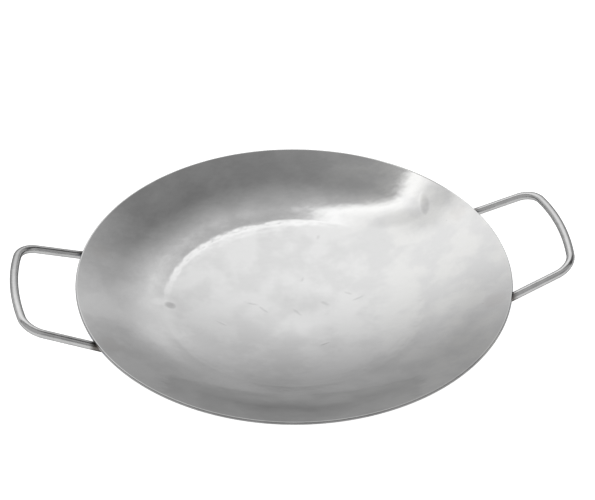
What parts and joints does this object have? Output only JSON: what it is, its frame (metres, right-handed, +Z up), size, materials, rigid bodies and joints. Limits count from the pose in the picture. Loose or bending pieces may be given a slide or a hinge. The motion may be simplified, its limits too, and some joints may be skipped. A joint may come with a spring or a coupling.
{
  "type": "kadai",
  "caption": "Shallow round steel kadai with a plain rim, a small flat base and a wire loop handle welded under the rim at each side.",
  "frame": {"origin": "middle of the flat underside that the kadai stands on", "axes": "+Z up, +X through both handles to the right, +Y to the rear; the front faces -Y"},
  "size_m": [0.41, 0.3196, 0.0592],
  "materials": {
    "bowl_steel": "satin pressed steel sheet, faintly wavy, with light scuffs",
    "handle_wire": "bright drawn steel wire",
    "weld_metal": "rippled weld metal, dulled by heat"
  },
  "bodies": {
    "root": {"bowl": "bowl_steel", "left_handle": "handle_wire", "right_handle": "handle_wire", "left_front_weld": "weld_metal", "left_rear_weld": "weld_metal", "right_front_weld": "weld_metal", "right_rear_weld": "weld_metal"}
  },
  "joints": []
}
